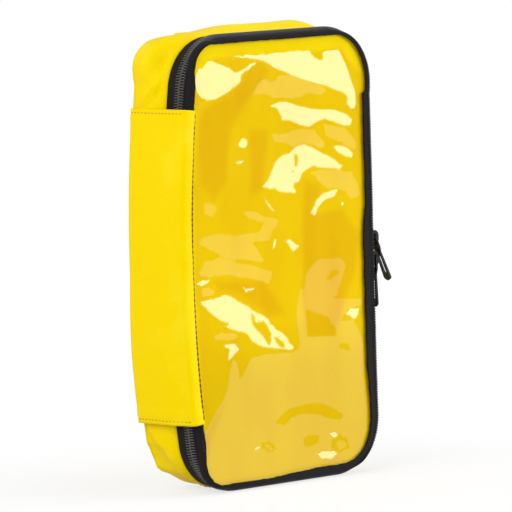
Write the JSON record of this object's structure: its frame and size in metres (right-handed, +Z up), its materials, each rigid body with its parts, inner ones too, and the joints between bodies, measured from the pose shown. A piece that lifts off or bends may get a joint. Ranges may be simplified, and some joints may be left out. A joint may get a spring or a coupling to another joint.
{
  "type": "ampoule holder",
  "caption": "Zipped book-style case that holds medicine ampoules in elastic loops, in yellow tarpaulin with a clear window front and a black coil zip",
  "frame": {"origin": "on the surface the case stands on, midway across its width and its depth", "axes": "+Z up along the case's length, +X right seen from the front, -Y towards the window front"},
  "size_m": [0.1609, 0.0409, 0.24],
  "materials": {
    "tarpaulin": "coated, satin",
    "clear_vinyl": "clear, glossy, creased",
    "zip_tape": "woven, matt",
    "zip_coil": "satin",
    "slider_metal": "painted, satin",
    "foam": "closed-cell foam",
    "lining": "woven, matt",
    "seam_binding": "ribbed tape",
    "elastic": "knitted elastic"
  },
  "bodies": {
    "body": {"gusset": "tarpaulin", "back_panel": "tarpaulin", "spine_panel": "tarpaulin", "spine_lining": "lining", "body_zip_tape": "zip_tape", "body_zip_coil": "zip_coil", "back_foam": "foam", "back_lining": "lining", "back_seam_binding": "seam_binding", "back_elastic_lower": "elastic", "back_elastic_upper": "elastic"},
    "lid": {"lid_panel": "tarpaulin", "spine_flap": "tarpaulin", "window_sheet": "clear_vinyl", "lid_zip_tape": "zip_tape", "lid_zip_coil": "zip_coil", "lid_foam": "foam", "lid_lining": "lining", "lid_seam_binding": "seam_binding", "lid_elastic_lower": "elastic", "lid_elastic_middle": "elastic", "lid_elastic_upper": "elastic"},
    "slider_lower": {"slider_body_lower": "slider_metal", "slider_crown_lower": "slider_metal"},
    "pull_lower": {"slider_pull_lower": "slider_metal"},
    "slider_upper": {"slider_body_upper": "slider_metal", "slider_crown_upper": "slider_metal"},
    "pull_upper": {"slider_pull_upper": "slider_metal"}
  },
  "joints": [
    {"name": "lid_hinge", "type": "hinge", "parent": "body", "child": "lid", "pos_m": [-0.0739, -0.0209, 0.12], "axis": [0, 0, -1], "range_deg": [0, 180]},
    {"name": "slider_lower_slide", "type": "slide", "parent": "body", "child": "slider_lower", "axis": [0, 0, 1], "range_m": [-0.075, 0]},
    {"name": "slider_upper_slide", "type": "slide", "parent": "body", "child": "slider_upper", "axis": [0, 0, 1], "range_m": [0, 0.075]},
    {"name": "pull_lower_swing", "type": "hinge", "parent": "slider_lower", "child": "pull_lower", "pos_m": [0.0739, -0.0128, 0.1134], "axis": [0, -1, 0], "range_deg": [-6, 34]},
    {"name": "pull_upper_swing", "type": "hinge", "parent": "slider_upper", "child": "pull_upper", "pos_m": [0.0739, -0.0128, 0.1246], "axis": [0, -1, 0], "range_deg": [0, 155]}
  ]
}
